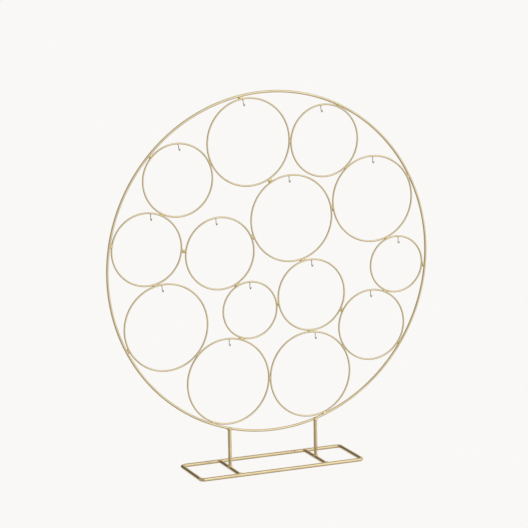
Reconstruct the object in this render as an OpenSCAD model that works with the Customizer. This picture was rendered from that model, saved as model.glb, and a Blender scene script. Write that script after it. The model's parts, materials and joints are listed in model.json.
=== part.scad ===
// Wreath frame: a wire hoop on a rectangular wire stand, filled with fourteen
// smaller wire rings. Every ring carries a little J-hook on its inside top.
// X runs along the stand, Y points to the back, Z is up. The origin is on the
// table, straight below the middle of the hoop. All sizes are in millimetres.

/* [Rings] */
// Outside diameter of the large rings
large_od = 120; // [119:0.5:121]
// Outside diameter of the medium rings
medium_od = 100; // [99:0.5:101]
// Outside diameter of the small rings
small_od = 80; // [79:0.5:81]
// Wire thickness of the inner rings
ring_wire = 2.4; // [2:0.1:2.8]

/* [Hoop] */
// Wire thickness of the outer hoop
hoop_wire = 3.4; // [3:0.1:3.8]
// Height of the hoop's centre above the table
hoop_height = 280.5; // [270:0.5:300]
// Direction in which the first rim ring lies, counted from +X towards +Z
first_angle = 247.8; // [240:0.1:255]
// Air between neighbouring rings along the rim
weld_gap = 0.1; // [0.1:0.05:0.4]

/* [Stand] */
// Outside length of the stand's rectangle
stand_length = 241; // [200:1:280]
// Outside depth of the stand's rectangle
stand_depth = 82; // [60:1:110]
// Rod thickness of the whole stand
stand_wire = 5; // [4:0.1:6]
// Radius of the rectangle's bent corners, along the rod's middle
corner_bend = 5; // [4:0.5:10]
// Distance between the two uprights
leg_spacing = 126.5; // [100:0.5:150]
// How far the stand sits off the hoop's middle, along X
stand_shift = -2.5; // [-5:0.5:5]
// How far the uprights sit off the stand's middle, along X
leg_shift = 1.5; // [-5:0.5:5]

/* [Hooks] */
// Wire thickness of the hooks
hook_wire = 1; // [0.8:0.1:1.2]
// Length of a hook's straight shank
shank_length = 6.5; // [5:0.5:8]
// Radius of a hook's bend, along the wire's middle
hook_bend = 1.8; // [1.4:0.1:2.2]
// How far round a hook is bent
hook_turn = 150; // [120:5:170]
// Length of the straight tip after the bend
tip_length = 2; // [1.5:0.5:3]

/* [Brazing] */
// Straight length of a bead between two wires
bead_length = 7; // [4:0.5:9]
// Least thickness of a bead between two wires
bead_thickness = 2.9; // [2.6:0.1:3.4]
// Thickness of a bead between a ring and the hoop
hoop_bead = 3.6; // [3.2:0.1:4]
// How far a bead grips the wires on either side of a wide gap
bead_grip = 0.55; // [0.4:0.05:0.8]
// Diameter of the bead that holds a hook
hook_bead = 2.6; // [2:0.1:3]
// Diameter of a bead on the stand
stand_bead = 7; // [6.6:0.1:7.6]

/* [Hidden] */
// One row for each ring: its size, where its hook sits, in degrees from the
// ring's top with + towards +X, and the way the hook leans out of plumb
L = large_od / 2;
M = medium_od / 2;
S = small_od / 2;
RINGS = [
    [L, -7, 8],
    [M, -6, 7],
    [M, 2, 8],
    [L, 1, -1],
    [L, -3, 2],
    [M, 8, 0],
    [M, -6, 3],
    [S, 5, -3],
    [S, 0, 2],
    [M, 1, 1],
    [L, -5, 7],
    [M, -1, 0],
    [L, 2, 1],
    [L, 8, -1]
];
// Rings along the hoop, in order round it, each with the air left to the hoop
RIM = [
    [13, 0.1], [14, 0.5], [12, 0.9], [8, 2.1], [4, 0.5],
    [2, 0.1], [1, 1.7], [3, 1.5], [6, 0.9], [11, 1.3]
];
// Rings inside: ring, its two neighbours, and the air left to each of them
INNER = [
    [10, 14, 12, 0.3, 2.4],
    [9, 13, 10, 0.6, 0.9],
    [5, 10, 4, 1.1, 1],
    [7, 9, 5, 1.2, 1.4]
];
// Pairs of rings that are brazed together
JOINTS = [
    [1, 2], [1, 3], [1, 5], [2, 4], [3, 6], [4, 5], [4, 8], [5, 7], [5, 10], [6, 7],
    [6, 11], [7, 9], [8, 12], [9, 10], [9, 13], [10, 12], [10, 14], [11, 13], [12, 14], [13, 14]
];

gold = [0.80, 0.69, 0.46];
dark_gold = [0.62, 0.51, 0.32];
braze = [0.70, 0.56, 0.30];
hook_grey = [0.42, 0.38, 0.32];

// Outside radius of a ring
function outer_r(i) = RINGS[i - 1][0];

// Air between a rim ring and the hoop
RIM_RINGS = [for (row = RIM) row[0]];
function hoop_air(i) = RIM[search(i, RIM_RINGS)[0]][1];

// Distance from the hoop's centre to a rim ring's centre, in a hoop of radius r
function reach(i, r) = r - hoop_wire / 2 - hoop_air(i) - outer_r(i);

// Angle that two neighbouring rim rings span at the hoop's centre
function turn(i, j, r) =
    let (a = reach(i, r), b = reach(j, r), c = outer_r(i) + outer_r(j) + weld_gap)
    acos((a * a + b * b - c * c) / (2 * a * b));

function rim_ring(k) = RIM_RINGS[k % len(RIM)];
function turn_sum(k, r) = k == 0 ? 0 : turn_sum(k - 1, r) + turn(rim_ring(k - 1), rim_ring(k), r);

// The hoop is as large as lets its rim rings close a full circle
function closing_r(low, high, steps) =
    let (mid = (low + high) / 2)
    steps == 0 ? high
    : turn_sum(len(RIM), mid) > 360 ? closing_r(mid, high, steps - 1)
    : closing_r(low, mid, steps - 1);
hoop_r = closing_r(1.6 * large_od, 2.4 * large_od, 40);

// Centre of a circle at distance ra from a and rb from b, left of the line a to b
function left_of(a, b, ra, rb) =
    let (d = norm(b - a), u = (b - a) / d, along = (d * d + ra * ra - rb * rb) / (2 * d))
    a + along * u + sqrt(ra * ra - along * along) * [-u[1], u[0]];

// Place of ring i in the hoop's plane, [x, z] from the hoop's centre
function rim_place(k) =
    let (a = first_angle + turn_sum(k, hoop_r))
    reach(rim_ring(k), hoop_r) * [cos(a), sin(a)];
function inner_place(row) =
    left_of(
        place(row[1]), place(row[2]),
        outer_r(row[0]) + outer_r(row[1]) + row[3],
        outer_r(row[0]) + outer_r(row[2]) + row[4]
    );
function place(i) =
    let (rim = search(i, RIM_RINGS), inner = search(i, [for (row = INNER) row[0]]))
    len(rim) > 0 ? rim_place(rim[0]) : inner_place(INNER[inner[0]]);
PLACES = [for (i = [1:len(RINGS)]) place(i)];

// The joint between rings i and j: its middle, the bead's direction and the air
function joint_air(i, j) = norm(PLACES[j - 1] - PLACES[i - 1]) - outer_r(i) - outer_r(j);
function joint_place(i, j) =
    let (u = (PLACES[j - 1] - PLACES[i - 1]) / norm(PLACES[j - 1] - PLACES[i - 1]))
    PLACES[i - 1] + (outer_r(i) + joint_air(i, j) / 2) * u;
function across(p, q) = atan2(q[1] - p[1], q[0] - p[0]) + 90;

// Stand levels and places
rod_z = stand_wire / 2;
loop_x = (stand_length - stand_wire) / 2;
loop_y = (stand_depth - stand_wire) / 2;
leg_x = [for (side = [-1, 1]) stand_shift + leg_shift + side * leg_spacing / 2];
cope = 0.8;
// Wires nearer to each other than this are brazed from the front and the back
// only, and the seam between the two fillets stays open: ring to ring, and ring
// to hoop
narrow_air = 0.8;
narrow_hoop_air = 1;
seam = 1.2;
function hoop_bottom(x) = hoop_height - sqrt(pow(hoop_r, 2) - x * x);

function two_digits(i) = str(i < 10 ? "0" : "", i);
RING_NODES = [for (i = [1:len(RINGS)]) str("ring_", two_digits(i))];
HOOK_NODES = [for (i = [1:len(RINGS)]) str("hook_", two_digits(i))];

// A wire bent into a circle that stands upright in the XZ plane, or, for a
// smaller span, the stretch of it that lies round direction a
module wire_circle(r, wire, a = 0, span = 360) {
    rotate([90, 0, 0])
        rotate([0, 0, a - span / 2])
            rotate_extrude(angle = span, $fn = 256)
                translate([r, 0]) circle(d = wire, $fn = 96);
}

// A round-ended bead, lying in the XZ plane in direction a
module bead(a, length, thickness) {
    rotate([0, 90 - a, 0]) {
        cylinder(d = thickness, h = length, center = true, $fn = 128);
        for (end = [-1, 1])
            translate([0, 0, end * length / 2]) sphere(d = thickness, $fn = 128);
    }
}

// Moves its children to a place [x, z] counted from the hoop's centre
module at_place(p) {
    translate([p[0], 0, hoop_height + p[1]]) children();
}

module outer_hoop_wire() {
    at_place([0, 0]) wire_circle(hoop_r, hoop_wire);
}

module outer_hoop() {
    color(gold) outer_hoop_wire();
}

module ring_wire_at(i) {
    at_place(PLACES[i - 1]) wire_circle(outer_r(i) - ring_wire / 2, ring_wire);
}

module ring(i) {
    color(gold) ring_wire_at(i);
}

// Moves its children to where ring i's hook meets the wire, with the hook's lean
module at_hook(i) {
    a = RINGS[i - 1][1];
    r = outer_r(i) - ring_wire;
    at_place(PLACES[i - 1] + r * [sin(a), cos(a)]) rotate([0, -RINGS[i - 1][2], 0]) children();
}

// A J-hook: shank, bend and tip, with its shank sunk a little into the ring
module hook_shape() {
    sunk = ring_wire / 4;
    translate([0, 0, -shank_length]) cylinder(d = hook_wire, h = shank_length + sunk, $fn = 96);
    translate([0, -hook_bend, -shank_length])
        rotate([0, -90, 0]) rotate([0, 0, 90])
            rotate_extrude(angle = hook_turn, $fn = 144)
                translate([hook_bend, 0]) circle(d = hook_wire, $fn = 96);
    translate([0, -hook_bend, -shank_length])
        rotate([-hook_turn, 0, 0]) translate([0, hook_bend, 0]) rotate([180, 0, 0]) {
            cylinder(d = hook_wire, h = tip_length, $fn = 48);
            translate([0, 0, tip_length]) sphere(d = hook_wire, $fn = 48);
        }
}

module hook_wire_at(i) {
    difference() {
        at_hook(i) hook_shape();
        ring_wire_at(i);
    }
}

module hook(i) {
    color(hook_grey) hook_wire_at(i);
}

// The stand's rectangle: one rod with four bent corners
module stand_loop_wire() {
    straight_x = 2 * (loop_x - corner_bend);
    straight_y = 2 * (loop_y - corner_bend);
    translate([stand_shift, 0, rod_z]) {
        for (side = [-1, 1]) {
            translate([0, side * loop_y, 0]) rotate([0, 90, 0])
                cylinder(d = stand_wire, h = straight_x, center = true, $fn = 32);
            translate([side * loop_x, 0, 0]) rotate([90, 0, 0])
                cylinder(d = stand_wire, h = straight_y, center = true, $fn = 32);
        }
        for (turns = [0:3]) {
            sx = turns == 0 || turns == 3 ? 1 : -1;
            sy = turns < 2 ? 1 : -1;
            translate([sx * (loop_x - corner_bend), sy * (loop_y - corner_bend), 0])
                rotate([0, 0, 90 * turns])
                    rotate_extrude(angle = 90, $fn = 64)
                        translate([corner_bend, 0]) circle(d = stand_wire, $fn = 32);
        }
    }
}

module stand_loop() {
    color(gold) stand_loop_wire();
}

// A crossbar's rod, before its ends are coped round the long rods
module crossbar_rod(side) {
    translate([leg_x[side], 0, rod_z]) rotate([90, 0, 0])
        cylinder(d = stand_wire, h = 2 * (loop_y - stand_wire / 2 + cope), center = true, $fn = 32);
}

module crossbar(side) {
    color(dark_gold) difference() {
        crossbar_rod(side);
        stand_loop_wire();
    }
}

// An upright's rod, coped over the crossbar below and under the hoop above
module upright_rod(side) {
    bottom = stand_wire - cope;
    top = hoop_bottom(leg_x[side]) - hoop_wire / 4;
    translate([leg_x[side], 0, bottom]) cylinder(d = stand_wire, h = top - bottom, $fn = 32);
}

module upright(side) {
    color(gold) difference() {
        upright_rod(side);
        crossbar_rod(side);
        outer_hoop_wire();
    }
}

// The open seam between the front and back fillets of a bead
module open_seam() {
    cube([2 * bead_length, seam, 2 * bead_length], center = true);
}

// Beads along the joints between two rings
module ring_braze_beads() {
    color(braze) for (pair = JOINTS) {
        i = pair[0];
        j = pair[1];
        air = joint_air(i, j);
        thickness = max(bead_thickness, air + 2 * bead_grip);
        difference() {
            at_place(joint_place(i, j))
                bead(across(PLACES[i - 1], PLACES[j - 1]), bead_length, thickness);
            ring_wire_at(i);
            ring_wire_at(j);
            if (air < narrow_air) at_place(joint_place(i, j)) open_seam();
        }
    }
}

// Beads along the joints between the rim rings and the hoop
module hoop_braze_beads() {
    span = (bead_length + hoop_bead + 1) / hoop_r * 180 / PI;
    color(braze) for (i = RIM_RINGS) {
        p = PLACES[i - 1];
        air = hoop_air(i);
        middle = (1 + (outer_r(i) + air / 2) / norm(p)) * p;
        out = atan2(p[1], p[0]);
        difference() {
            at_place(middle) bead(out + 90, bead_length, hoop_bead);
            ring_wire_at(i);
            at_place([0, 0]) wire_circle(hoop_r, hoop_wire, out, span);
            if (air < narrow_hoop_air) at_place(middle) open_seam();
        }
    }
}

// Small round beads where the hooks meet their rings
module hook_braze_beads() {
    color(braze) for (i = [1:len(RINGS)]) difference() {
        at_hook(i) sphere(d = hook_bead, $fn = 128);
        ring_wire_at(i);
        at_hook(i) hook_shape();
    }
}

// Everything below a level, for keeping beads above it
module below(level) {
    translate([stand_shift, 0, level - stand_bead])
        cube([stand_length, stand_depth, 2 * stand_bead], center = true);
}

// Beads over both ends of the two crossbars, on the upper side of the rods
module crossbar_weld_beads() {
    color(braze) for (side = [0, 1]) for (end = [-1, 1]) difference() {
        translate([leg_x[side], end * (loop_y - stand_wire / 2), rod_z])
            sphere(d = stand_bead, $fn = 48);
        crossbar_rod(side);
        stand_loop_wire();
        below(rod_z);
    }
}

// Beads round the feet of the uprights, on top of the crossbars
module upright_foot_weld_beads() {
    color(braze) for (side = [0, 1]) difference() {
        translate([leg_x[side], 0, stand_wire]) sphere(d = stand_bead, $fn = 48);
        crossbar_rod(side);
        upright_rod(side);
        below(rod_z);
    }
}

// Beads where the uprights' tops carry the hoop
module upright_top_weld_beads() {
    color(braze) for (side = [0, 1]) difference() {
        translate([leg_x[side], 0, hoop_bottom(leg_x[side]) - hoop_wire / 2])
            sphere(d = stand_bead, $fn = 48);
        outer_hoop_wire();
        upright_rod(side);
    }
}

outer_hoop();
for (i = [1:len(RINGS)]) {
    ring(i);
    hook(i);
}
stand_loop();
crossbar(0);  // left_crossbar
crossbar(1);  // right_crossbar
upright(0);  // left_upright
upright(1);  // right_upright
ring_braze_beads();
hoop_braze_beads();
hook_braze_beads();
crossbar_weld_beads();
upright_foot_weld_beads();
upright_top_weld_beads();
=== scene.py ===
"""Looks of the wreath frame: wires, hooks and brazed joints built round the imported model."""

import json
import math

import bpy
import numpy as np
from mathutils import Matrix, Vector, noise


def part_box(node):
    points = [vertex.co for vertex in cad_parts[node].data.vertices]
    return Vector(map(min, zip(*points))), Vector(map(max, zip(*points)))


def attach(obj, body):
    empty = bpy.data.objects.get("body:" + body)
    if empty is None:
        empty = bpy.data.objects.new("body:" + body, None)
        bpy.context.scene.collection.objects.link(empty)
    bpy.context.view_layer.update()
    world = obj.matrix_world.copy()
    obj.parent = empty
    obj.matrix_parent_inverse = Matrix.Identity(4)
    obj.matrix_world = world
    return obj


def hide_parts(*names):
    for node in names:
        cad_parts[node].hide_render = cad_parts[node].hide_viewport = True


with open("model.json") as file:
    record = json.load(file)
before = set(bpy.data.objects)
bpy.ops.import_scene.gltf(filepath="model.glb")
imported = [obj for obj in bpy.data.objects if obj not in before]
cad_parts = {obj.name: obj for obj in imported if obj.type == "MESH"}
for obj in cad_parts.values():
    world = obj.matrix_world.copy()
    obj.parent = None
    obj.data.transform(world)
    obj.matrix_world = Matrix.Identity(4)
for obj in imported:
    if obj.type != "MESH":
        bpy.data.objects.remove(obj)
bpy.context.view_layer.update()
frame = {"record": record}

MM = 0.001
BODY = "root"

# Wire radii and hook sizes, as the CAD model has them
RING_R = 1.2 * MM
HOOP_R = 1.7 * MM
ROD_R = 2.5 * MM
HOOK_R = 0.5 * MM
HOOK_SHANK = 6.5 * MM
HOOK_BEND = 1.8 * MM
HOOK_TURN = math.radians(150)
HOOK_TIP = 2.0 * MM
CORNER_BEND = 5.0 * MM
BEAD_HALF = 4.6 * MM

# How finely the wires are drawn
RING_SEGMENTS, RING_SIDES = 300, 18
HOOP_SEGMENTS, HOOP_SIDES = 800, 20
ROD_SIDES = 28
HOOK_SIDES = 14

RINGS = {i: f"ring_{i:02d}" for i in range(1, 15)}
# Pairs of rings that are brazed together, and the rings that are brazed to the hoop
JOINTS = [
    (1, 2), (1, 3), (1, 5), (2, 4), (3, 6), (4, 5), (4, 8), (5, 7), (5, 10), (6, 7),
    (6, 11), (7, 9), (8, 12), (9, 10), (9, 13), (10, 12), (10, 14), (11, 13), (12, 14), (13, 14),
]
RIM = [13, 14, 12, 8, 4, 2, 1, 3, 6, 11]


# ---------------------------------------------------------------- places, from the frame

def low_high(node):
    low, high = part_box(node)
    return np.array(low), np.array(high)


def node_centre(node):
    low, high = low_high(node)
    return (low + high) / 2


def outer_radius(node):
    low, high = low_high(node)
    return (high[2] - low[2]) / 2


CENTRE = {i: node_centre(node) for i, node in RINGS.items()}
OUTER = {i: outer_radius(node) for i, node in RINGS.items()}
HOOP_C = node_centre("outer_hoop")
HOOP_MID = outer_radius("outer_hoop") - HOOP_R
RIGHT = np.array([1.0, 0.0, 0.0])
UP = np.array([0.0, 0.0, 1.0])
DEPTH = np.array([0.0, 1.0, 0.0])
MOUNTS = {mount["name"]: mount for mount in frame["record"]["mounts"]}


def ring_joint(i, j):
    """Middle of the joint between rings i and j, the way across it, and the air in it."""
    gap = CENTRE[j] - CENTRE[i]
    span = np.linalg.norm(gap)
    across = gap / span
    air = span - OUTER[i] - OUTER[j]
    return CENTRE[i] + across * (OUTER[i] + air / 2), across, air


def hoop_joint(i):
    """Middle of the joint between ring i and the hoop, the way across it, and the air in it."""
    out = CENTRE[i] - HOOP_C
    across = out / np.linalg.norm(out)
    edge = np.linalg.norm(out) + OUTER[i]
    air = HOOP_MID - HOOP_R - edge
    return HOOP_C + across * (edge + air / 2), across, air


RING_JOINTS = [ring_joint(i, j) for i, j in JOINTS]
HOOP_JOINTS = [hoop_joint(i) for i in RIM]

# The stand: middles of its rods
loop_low, loop_high = low_high("stand_loop")
ROD_Z = ROD_R
LEFT_X, RIGHT_X = loop_low[0] + ROD_R, loop_high[0] - ROD_R
FRONT_Y, BACK_Y = loop_low[1] + ROD_R, loop_high[1] - ROD_R
LEG_X = [node_centre(node)[0] for node in ("left_upright", "right_upright")]
LEG_TOP = [low_high(node)[1][2] for node in ("left_upright", "right_upright")]


# ---------------------------------------------------------------- mesh helpers

def mesh_piece(name, parts, material, replaced, heat_points=None, heat_reach=7.0 * MM):
    """One smooth-shaded piece out of (verts, faces, uvs) parts. It stands for CAD nodes."""
    verts, faces, uvs, start = [], [], [], 0
    for part_verts, part_faces, part_uvs in parts:
        verts.append(np.asarray(part_verts))
        faces += [tuple(index + start for index in face) for face in part_faces]
        uvs += part_uvs
        start += len(part_verts)
    verts = np.concatenate(verts)
    mesh = bpy.data.meshes.new(name)
    mesh.from_pydata(verts.tolist(), [], faces)
    layer = mesh.uv_layers.new(name="UVMap")
    layer.data.foreach_set("uv", np.array([uv for face in uvs for uv in face], np.float32).ravel())
    if heat_points is not None:
        attribute = mesh.attributes.new("heat", "FLOAT", "POINT")
        attribute.data.foreach_set("value", heat_at(verts, heat_points, heat_reach))
    mesh.polygons.foreach_set("use_smooth", [True] * len(mesh.polygons))
    mesh.materials.append(material)
    mesh.update()
    piece = bpy.data.objects.new(name, mesh)
    bpy.context.scene.collection.objects.link(piece)
    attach(piece, BODY)
    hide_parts(*replaced)
    return piece


def heat_at(points, joints, reach):
    """How strongly the torch coloured each point: 1 at a joint, 0 away from it."""
    far = np.full(len(points), 1.0)
    for joint in joints:
        far = np.minimum(far, np.linalg.norm(points - joint, axis=1))
    return np.exp(-((far / reach) ** 2)).astype(np.float32)


def sweep(path, side_a, side_b, radius, sides, closed):
    """A tube along a path; side_a and side_b span its sections. UVs are metres along and around."""
    path, radius = np.asarray(path, float), np.asarray(radius, float)
    count = len(path)
    side_a = np.broadcast_to(side_a, path.shape)
    side_b = np.broadcast_to(side_b, path.shape)
    turn = np.linspace(0, 2 * math.pi, sides, endpoint=False)
    if radius.ndim == 1:
        radius = np.repeat(radius[:, None], sides, axis=1)
    offset = (
        np.cos(turn)[None, :, None] * side_a[:, None, :]
        + np.sin(turn)[None, :, None] * side_b[:, None, :]
    )
    verts = (path[:, None, :] + offset * radius[:, :, None]).reshape(-1, 3)
    steps = np.linalg.norm(np.diff(np.vstack([path, path[:1]]), axis=0), axis=1)
    along = np.concatenate([[0], np.cumsum(steps)])
    around = np.linspace(0, 2 * math.pi * float(radius.mean()), sides + 1)
    faces, uvs = [], []
    for i in range(count if closed else count - 1):
        k = (i + 1) % count
        for j in range(sides):
            m = (j + 1) % sides
            faces.append((i * sides + j, i * sides + m, k * sides + m, k * sides + j))
            a, b, c, d = along[i], along[i + 1], around[j], around[j + 1]
            uvs.append(((a, c), (a, d), (b, d), (b, c)))
    if not closed:
        for row, way in ((0, -1), (count - 1, 1)):
            loop = [row * sides + j for j in range(sides)]
            faces.append(tuple(loop if way > 0 else loop[::-1]))
            uvs.append(tuple((along[row], 0.0) for _ in loop))
    return verts, faces, uvs


def wire_circle(centre, middle_r, wire_r, segments, sides, seam, wave):
    """A hand-closed wire ring in the XZ plane: slightly wavy, with a ground butt joint."""
    turn = np.linspace(0, 2 * math.pi, segments, endpoint=False)
    bend = wave * (np.sin(2 * turn + seam) + 0.5 * np.sin(5 * turn + 3 * seam) - 1.5)
    out = np.stack([np.cos(turn), 0 * turn, np.sin(turn)], axis=1)
    path = centre + out * (middle_r + bend)[:, None]
    off = ((turn - seam + math.pi) % (2 * math.pi) - math.pi) * middle_r / wire_r
    swell = 0.07 * np.exp(-((off / 0.9) ** 2)) - 0.10 * np.exp(-((off / 0.16) ** 2))
    return sweep(path, -out, DEPTH, wire_r * (1 + swell), sides, True)


def lump(centre, axes, halves, seed, rough=0.10, power=2.3, rows=20, sides=26):
    """A melted bead: a rounded blob with soft, uneven swellings. Axes are along, across, deep."""
    frame_axes = np.array(axes)
    verts, faces, uvs = [], [], []
    for i in range(rows + 1):
        tilt = math.pi * i / rows
        for j in range(sides):
            turn = 2 * math.pi * j / sides
            belt = math.sin(tilt)
            way = np.array([math.cos(tilt), belt * math.cos(turn), belt * math.sin(turn)])
            size = (np.abs(way) ** power).sum() ** (-1 / power)
            place = Vector(way * 1.3) + Vector((seed * 3.1, seed * 1.7, -seed * 2.3))
            swell = 1 + rough * (noise.noise(place) + 0.5 * noise.noise(place * 2.6))
            local = way * size * np.array(halves) * swell
            verts.append(centre + local @ frame_axes)
    for i in range(rows):
        for j in range(sides):
            m = (j + 1) % sides
            a, b, c, d = i * sides + j, i * sides + m, (i + 1) * sides + m, (i + 1) * sides + j
            faces.append((a, b, c, d))
            uvs.append(tuple((float(halves[0]) * p, float(halves[1]) * q) for p, q in
                             ((i, j), (i, j + 1), (i + 1, j + 1), (i + 1, j))))
    return np.array(verts), faces, uvs


# ---------------------------------------------------------------- materials

def new_material(name):
    material = bpy.data.materials.new(name)
    material.use_nodes = True
    nodes = material.node_tree.nodes
    return material, nodes, material.node_tree.links, nodes["Principled BSDF"]


def noise_node(nodes, links, vector, scale, detail=3.0, rough=0.55):
    node = nodes.new("ShaderNodeTexNoise")
    node.inputs["Scale"].default_value = scale
    node.inputs["Detail"].default_value = detail
    node.inputs["Roughness"].default_value = rough
    links.new(vector, node.inputs["Vector"])
    return node.outputs["Fac"]


def spread(nodes, links, value, low, high, start=0.35, end=0.65):
    node = nodes.new("ShaderNodeMapRange")
    node.inputs["From Min"].default_value = start
    node.inputs["From Max"].default_value = end
    node.inputs["To Min"].default_value = low
    node.inputs["To Max"].default_value = high
    links.new(value, node.inputs["Value"])
    return node.outputs["Result"]


def mix_colour(nodes, links, factor, first, second):
    node = nodes.new("ShaderNodeMix")
    node.data_type = "RGBA"
    links.new(factor, node.inputs["Factor"])
    for socket, colour in ((node.inputs[6], first), (node.inputs[7], second)):
        if isinstance(colour, tuple):
            socket.default_value = (*colour, 1)
        else:
            links.new(colour, socket)
    return node.outputs[2]


def bump(nodes, links, height, strength, distance, normal=None):
    node = nodes.new("ShaderNodeBump")
    node.inputs["Strength"].default_value = strength
    node.inputs["Distance"].default_value = distance
    links.new(height, node.inputs["Height"])
    if normal is not None:
        links.new(normal, node.inputs["Normal"])
    return node.outputs["Normal"]


def plated_wire(name, light, deep, burnt, rough):
    """Satin gold plating on drawn wire: cloudy tone, drawing marks along it, torch tint, pits."""
    material, nodes, links, shader = new_material(name)
    place = nodes.new("ShaderNodeTexCoord")
    cloud = noise_node(nodes, links, place.outputs["Object"], 42.0)
    tone = mix_colour(nodes, links, spread(nodes, links, cloud, 0.0, 1.0), deep, light)
    heat = nodes.new("ShaderNodeAttribute")
    heat.attribute_name = "heat"
    flame = noise_node(nodes, links, place.outputs["Object"], 260.0)
    scorch = nodes.new("ShaderNodeMath")
    scorch.operation = "MULTIPLY"
    links.new(heat.outputs["Fac"], scorch.inputs[0])
    links.new(spread(nodes, links, flame, 0.35, 0.95), scorch.inputs[1])
    tone = mix_colour(nodes, links, scorch.outputs["Value"], tone, burnt)
    specks = noise_node(nodes, links, place.outputs["Object"], 1500.0, 2.0)
    worn = spread(nodes, links, specks, 0.0, 0.35, 0.66, 0.74)
    tone = mix_colour(nodes, links, worn, tone, tuple(0.55 * c for c in deep))
    links.new(tone, shader.inputs["Base Color"])
    stretch = nodes.new("ShaderNodeMapping")
    stretch.inputs["Scale"].default_value = (90.0, 3200.0, 1.0)
    links.new(place.outputs["UV"], stretch.inputs["Vector"])
    marks = noise_node(nodes, links, stretch.outputs["Vector"], 1.0, 4.0, 0.6)
    satin = noise_node(nodes, links, place.outputs["Object"], 700.0, 2.0)
    links.new(spread(nodes, links, satin, rough - 0.05, rough + 0.07), shader.inputs["Roughness"])
    normal = bump(nodes, links, marks, 0.13, 0.05 * MM)
    normal = bump(nodes, links, satin, 0.09, 0.04 * MM, normal)
    links.new(normal, shader.inputs["Normal"])
    shader.inputs["Metallic"].default_value = 1.0
    return material


def melted_metal(name, light, deep, rough):
    """Brazing metal under the plating: lumpy, with a cloudy tone and a few pores."""
    material, nodes, links, shader = new_material(name)
    place = nodes.new("ShaderNodeTexCoord")
    cloud = noise_node(nodes, links, place.outputs["Object"], 380.0)
    tone = mix_colour(nodes, links, spread(nodes, links, cloud, 0.0, 1.0), deep, light)
    pores = noise_node(nodes, links, place.outputs["Object"], 900.0, 1.0)
    tone = mix_colour(nodes, links, spread(nodes, links, pores, 0.0, 0.8, 0.60, 0.68), tone,
                      tuple(0.4 * c for c in deep))
    links.new(tone, shader.inputs["Base Color"])
    links.new(spread(nodes, links, cloud, rough + 0.08, rough - 0.06), shader.inputs["Roughness"])
    lumps = noise_node(nodes, links, place.outputs["Object"], 1000.0, 3.0)
    links.new(bump(nodes, links, lumps, 0.4, 0.12 * MM), shader.inputs["Normal"])
    shader.inputs["Metallic"].default_value = 1.0
    return material


TORCHED = (0.40, 0.28, 0.12)
GOLD_WIRE = plated_wire("gold_wire", (0.665, 0.575, 0.375), (0.605, 0.515, 0.325), TORCHED, 0.24)
GOLD_ROD = plated_wire("gold_rod", (0.635, 0.532, 0.33), (0.575, 0.472, 0.28), TORCHED, 0.20)
HOOK_WIRE = plated_wire(
    "hook_wire", (0.36, 0.30, 0.22), (0.27, 0.22, 0.155), (0.20, 0.14, 0.07), 0.40
)
BRAZE = melted_metal("braze", (0.82, 0.70, 0.42), (0.50, 0.39, 0.20), 0.22)


# ---------------------------------------------------------------- rings, hoop and hooks

JOINT_POINTS = [joint[0] for joint in RING_JOINTS + HOOP_JOINTS]


def hook_frame(i):
    """Where hook i leaves its ring, and the way it hangs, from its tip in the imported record."""
    mount = MOUNTS[f"hook_{i:02d}_tip"]
    tip, axis = np.array(mount["pos_m"]), np.array(mount["axis"])
    lean = math.atan2(axis[0], axis[2])
    down = -np.array([math.sin(lean), 0.0, math.cos(lean)])
    drop = HOOK_SHANK + HOOK_BEND * math.sin(HOOK_TURN) + math.cos(HOOK_TURN) * HOOK_TIP / 2
    reach = HOOK_BEND * (1 - math.cos(HOOK_TURN)) + math.sin(HOOK_TURN) * HOOK_TIP / 2
    return tip - down * drop + DEPTH * reach, down


def hook_path(start, down):
    """Shank, bend and tip of a J-hook that starts inside its ring's wire."""
    buried = RING_R * 0.9
    points = [start + down * ((HOOK_SHANK + buried) * t - buried) for t in np.linspace(0, 1, 14)]
    elbow = start + down * HOOK_SHANK - DEPTH * HOOK_BEND
    for angle in np.linspace(0, HOOK_TURN, 26)[1:]:
        points.append(elbow + HOOK_BEND * (DEPTH * math.cos(angle) + down * math.sin(angle)))
    way = -DEPTH * math.sin(HOOK_TURN) + down * math.cos(HOOK_TURN)
    last = points[-1]
    points += [last + way * HOOK_TIP * t for t in (0.25, 0.5, 0.75, 1.0)]
    radius = np.full(len(points), HOOK_R)
    for step in (0.35, 0.65, 0.85, 0.97):
        points.append(last + way * (HOOK_TIP + HOOK_R * step))
        radius = np.append(radius, HOOK_R * math.sqrt(1 - step * step))
    return np.array(points), radius


def build_hook(i):
    start, down = hook_frame(i)
    path, radius = hook_path(start, down)
    side = np.cross(DEPTH, down)
    tangent = np.gradient(path, axis=0)
    tangent /= np.linalg.norm(tangent, axis=1)[:, None]
    other = np.cross(tangent, side)
    burrs = 1 + 0.05 * np.sin(np.arange(len(path)) * 1.9 + i)
    part = sweep(path, side, other, radius * np.minimum(burrs, 1.02), HOOK_SIDES, False)
    node = f"hook_{i:02d}"
    return mesh_piece(f"{node}_wire", [part], HOOK_WIRE, [node], [start], 1.5 * MM)


for number, ring_node in RINGS.items():
    middle_r, seam = OUTER[number] - RING_R, 1.7 + 2.1 * number
    ring = wire_circle(CENTRE[number], middle_r, RING_R, RING_SEGMENTS, RING_SIDES, seam, 0.04 * MM)
    mesh_piece(f"{ring_node}_wire", [ring], GOLD_WIRE, [ring_node], JOINT_POINTS)
    build_hook(number)

hoop = wire_circle(HOOP_C, HOOP_MID, HOOP_R, HOOP_SEGMENTS, HOOP_SIDES, 4.9, 0.03 * MM)
mesh_piece("outer_hoop_wire", [hoop], GOLD_WIRE, ["outer_hoop"], JOINT_POINTS)


# ---------------------------------------------------------------- stand

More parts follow.
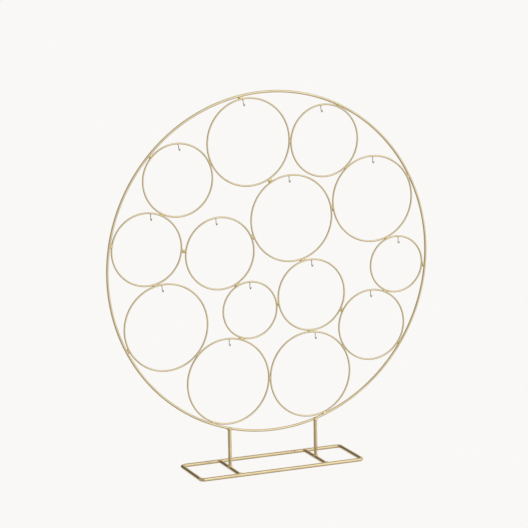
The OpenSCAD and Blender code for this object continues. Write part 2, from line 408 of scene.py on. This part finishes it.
def loop_path():
    """The stand's closed rod: its points, the way outwards there, and how hard it is bent."""
    middles = [
        np.array([x - math.copysign(CORNER_BEND, x), y - math.copysign(CORNER_BEND, y), ROD_Z])
        for x, y in ((RIGHT_X, BACK_Y), (LEFT_X, BACK_Y), (LEFT_X, FRONT_Y), (RIGHT_X, FRONT_Y))
    ]
    points, out, squeeze = [], [], []
    for quarter, middle in enumerate(middles):
        for turn in np.linspace(0, 90, 17):
            a = math.radians(90 * quarter + turn)
            way = np.array([math.cos(a), math.sin(a), 0])
            points.append(middle + CORNER_BEND * way)
            out.append(way)
            squeeze.append(math.sin(math.radians(2 * turn)))
        start, end = points[-1], middles[(quarter + 1) % 4] + CORNER_BEND * way
        for t in np.linspace(0, 1, 40)[1:-1]:
            points.append(start + (end - start) * t)
            out.append(way)
            squeeze.append(0.0)
    return np.array(points), np.array(out), np.array(squeeze)


def build_stand():
    path, out, squeeze = loop_path()
    turn = np.linspace(0, 2 * math.pi, ROD_SIDES, endpoint=False)
    # A bent rod is pressed a little flat on the inside of its bend
    inward = np.maximum(0, np.cos(turn))[None, :] * squeeze[:, None]
    radius = ROD_R * (1 - 0.05 * inward)
    part = sweep(path, -out, UP, radius, ROD_SIDES, True)
    welds = [np.array([x, y, ROD_Z]) for x in LEG_X for y in (FRONT_Y, BACK_Y)]
    mesh_piece("stand_loop_rod", [part], GOLD_ROD, ["stand_loop"], welds, 5 * MM)
    for side, x in zip(("left", "right"), LEG_X):
        ends = (FRONT_Y + ROD_R * 0.55, BACK_Y - ROD_R * 0.55)
        line = [np.array([x, y, ROD_Z]) for y in np.linspace(*ends, 60)]
        part = sweep(line, RIGHT, -UP, np.full(len(line), ROD_R * 0.995), ROD_SIDES, False)
        foot = np.array([x, 0, 2 * ROD_R])
        mesh_piece(f"{side}_crossbar_rod", [part], GOLD_ROD, [f"{side}_crossbar"],
                   [foot] + welds, 5 * MM)
    for side, x, top in zip(("left", "right"), LEG_X, LEG_TOP):
        line = [np.array([x, 0, z]) for z in np.linspace(ROD_R * 1.2, top - 0.6 * MM, 50)]
        part = sweep(line, RIGHT, DEPTH, np.full(len(line), ROD_R), ROD_SIDES, False)
        mesh_piece(f"{side}_upright_rod", [part], GOLD_ROD, [f"{side}_upright"],
                   [line[0], line[-1]], 6 * MM)


build_stand()


# ---------------------------------------------------------------- beads

def build_beads():
    ring_parts = []
    for number, (middle, across, air) in enumerate(RING_JOINTS):
        along = np.cross(across, DEPTH)
        # a wide gap is bridged by a short bead, a narrow one is filled along a stretch
        narrow = 1 / (1 + (air / (2.4 * MM)) ** 2)
        wide = air / 2 + 0.75 * RING_R
        length = BEAD_HALF * (0.42 + 0.45 * narrow + 0.05 * (number % 3))
        halves = (length, wide, RING_R * (0.86 + 0.28 * narrow))
        shift = along * 0.5 * MM * math.sin(number * 2.3)
        ring_parts.append(lump(middle + shift, (along, across, DEPTH), halves, number + 1))
    mesh_piece("ring_braze", ring_parts, BRAZE, ["ring_braze_beads"])

    hoop_parts = []
    for number, (middle, across, air) in enumerate(HOOP_JOINTS):
        along = np.cross(across, DEPTH)
        wide = air / 2 + 0.85 * RING_R
        halves = (BEAD_HALF * (0.74 + 0.06 * (number % 3)), wide, RING_R * 1.2)
        hoop_parts.append(lump(middle, (along, across, DEPTH), halves, number + 31))
    mesh_piece("hoop_braze", hoop_parts, BRAZE, ["hoop_braze_beads"])

    hook_parts = []
    for number in RINGS:
        start, down = hook_frame(number)
        side = np.cross(DEPTH, down)
        halves = (1.25 * MM, 1.3 * MM, 1.28 * MM)
        place = start - down * 0.3 * MM
        bead = lump(place, (down, side, DEPTH), halves, number + 51, 0.14, rows=14, sides=18)
        hook_parts.append(bead)
    mesh_piece("hook_braze", hook_parts, BRAZE, ["hook_braze_beads"])

    cross_parts = []
    for x in LEG_X:
        for y, sign in ((FRONT_Y, 1), (BACK_Y, -1)):
            place = np.array([x, y + sign * ROD_R * 0.95, ROD_Z + 0.6 * MM])
            halves = (ROD_R * 1.28, ROD_R * 0.78, ROD_R * 1.0)
            cross_parts.append(lump(place, (RIGHT, DEPTH, UP), halves, x * 900 + sign * 2, 0.12))
    mesh_piece("crossbar_welds", cross_parts, BRAZE, ["crossbar_weld_beads"])

    foot_parts = [
        lump(np.array([x, 0, 2 * ROD_R + 0.1 * MM]), (RIGHT, DEPTH, UP),
             (ROD_R * 1.2, ROD_R * 1.36, ROD_R * 0.7), x * 700, 0.10)
        for x in LEG_X
    ]
    mesh_piece("upright_foot_welds", foot_parts, BRAZE, ["upright_foot_weld_beads"])

    top_parts = [
        lump(np.array([x, 0, top - 0.2 * MM]), (RIGHT, DEPTH, UP),
             (ROD_R * 1.38, ROD_R * 1.3, ROD_R * 0.9), x * 500, 0.12)
        for x, top in zip(LEG_X, LEG_TOP)
    ]
    mesh_piece("upright_top_welds", top_parts, BRAZE, ["upright_top_weld_beads"])


build_beads()


# ---------------------------------------------------------------- stage, light and camera

# The floor's paper, and how far it reaches
FLOOR_TONE = (0.947, 0.939, 0.922, 1)
FLOOR_GLOW = 0.984
FLOOR_REACH = 30.0

# The photograph's view: degrees, metres, and the aim from the hoop's centre
CAMERA_AZIMUTH, CAMERA_ELEVATION, CAMERA_ROLL = -22.2, 11.0, -0.996
CAMERA_DISTANCE = 3.2011
CAMERA_AIM = Vector((-9.6, 0, -0.9)) * MM
LENS, SENSOR = 162.49, 36.0


def build_floor():
    """A pale paper sweep. It glows evenly, the way a lit white table looks in a product shot."""
    mesh = bpy.data.meshes.new("floor")
    corners = [(-1, -1), (1, -1), (1, 1), (-1, 1)]
    verts = [(x * FLOOR_REACH, y * FLOOR_REACH, -0.2 * MM) for x, y in corners]
    mesh.from_pydata(verts, [], [(0, 1, 2, 3)])
    floor = bpy.data.objects.new("floor", mesh)
    bpy.context.scene.collection.objects.link(floor)
    material, nodes, links, shader = new_material("floor_paper")
    shader.inputs["Base Color"].default_value = (0.02, 0.02, 0.02, 1)
    shader.inputs["Roughness"].default_value = 1.0
    shader.inputs["Specular IOR Level"].default_value = 0.0
    shader.inputs["Emission Color"].default_value = FLOOR_TONE
    shader.inputs["Emission Strength"].default_value = FLOOR_GLOW
    mesh.materials.append(material)
    floor.visible_glossy = False


def direction(azimuth, elevation):
    """Unit vector towards a place round the object; azimuth 0 is the front, 90 the right."""
    a, e = math.radians(azimuth), math.radians(elevation)
    return (math.sin(a) * math.cos(e), -math.cos(a) * math.cos(e), math.sin(e))


# The studio, as the metal sees it: azimuth, elevation, full and zero width in degrees, radiance
STUDIO_LEVEL = 0.74
SOFT_BOXES = [
    (24, 10, 8, 58, 0.50),
    (100, 0, 20, 70, 0.24),
]
# The same, with the share of light that is lost there
DARK_CORNERS = [
    (-164, 13, 10, 27, 0.86),
    (-62, -10, 25, 75, 0.24),
    (0, 90, 10, 60, 0.14),
    (10, -70, 15, 60, 0.16),
]
# Unlit parts of the room are warmer than the soft boxes
WARM_TINT = (1.0, 0.85, 0.68)


def build_world():
    """A grey studio with soft boxes and unlit corners, all as smooth gradients."""
    world = bpy.data.worlds.new("studio")
    bpy.context.scene.world = world
    world.use_nodes = True
    nodes, links = world.node_tree.nodes, world.node_tree.links
    view = nodes.new("ShaderNodeTexCoord")

    def lobe(azimuth, elevation, full, zero, low, high):
        dot = nodes.new("ShaderNodeVectorMath")
        dot.operation = "DOT_PRODUCT"
        dot.inputs[1].default_value = direction(azimuth, elevation)
        links.new(view.outputs["Generated"], dot.inputs[0])
        soft = nodes.new("ShaderNodeMapRange")
        soft.interpolation_type = "SMOOTHSTEP"
        soft.inputs["From Min"].default_value = math.cos(math.radians(zero))
        soft.inputs["From Max"].default_value = math.cos(math.radians(full))
        soft.inputs["To Min"].default_value = low
        soft.inputs["To Max"].default_value = high
        links.new(dot.outputs["Value"], soft.inputs["Value"])
        return soft.outputs["Result"]

    def combine(first, second, operation):
        node = nodes.new("ShaderNodeMath")
        node.operation = operation
        for socket, value in zip(node.inputs, (first, second)):
            if isinstance(value, float):
                socket.default_value = value
            else:
                links.new(value, socket)
        return node.outputs["Value"]

    level = STUDIO_LEVEL
    for azimuth, elevation, full, zero, radiance in SOFT_BOXES:
        level = combine(level, lobe(azimuth, elevation, full, zero, 0.0, radiance), "ADD")
    for azimuth, elevation, full, zero, loss in DARK_CORNERS:
        level = combine(level, lobe(azimuth, elevation, full, zero, 1.0, 1.0 - loss), "MULTIPLY")
    links.new(level, nodes["Background"].inputs["Strength"])
    lit = spread(nodes, links, level, 0.0, 1.0, 0.25, 1.1)
    tint = mix_colour(nodes, links, lit, WARM_TINT, (1.0, 1.0, 1.0))
    links.new(tint, nodes["Background"].inputs["Color"])


def build_sun():
    light = bpy.data.lights.new("key_light", "SUN")
    light.energy = 0.35
    light.angle = math.radians(50)
    lamp = bpy.data.objects.new("key_light", light)
    bpy.context.scene.collection.objects.link(lamp)
    lamp.rotation_mode = "QUATERNION"
    lamp.rotation_quaternion = Vector(direction(30, 45)).to_track_quat("Z", "Y")


def build_camera():
    """The photograph's view: long lens, from the front left and a little above."""
    azimuth, roll = math.radians(CAMERA_AZIMUTH), math.radians(CAMERA_ROLL)
    back = Vector(direction(CAMERA_AZIMUTH, CAMERA_ELEVATION))
    right = Vector((math.cos(azimuth), math.sin(azimuth), 0))
    up = back.cross(right)
    turned_right = math.cos(roll) * right + math.sin(roll) * up
    turned_up = math.cos(roll) * up - math.sin(roll) * right
    camera = bpy.data.objects.new("camera", bpy.data.cameras.new("camera"))
    bpy.context.scene.collection.objects.link(camera)
    camera.data.lens = LENS
    camera.data.sensor_width = SENSOR
    camera.data.clip_end = 100.0
    place = Matrix((turned_right, turned_up, back)).transposed().to_4x4()
    place.translation = Vector(HOOP_C) + CAMERA_AIM + back * CAMERA_DISTANCE
    camera.matrix_world = place
    bpy.context.scene.camera = camera


build_floor()
build_world()
build_sun()
build_camera()
bpy.context.scene.view_settings.view_transform = "Standard"
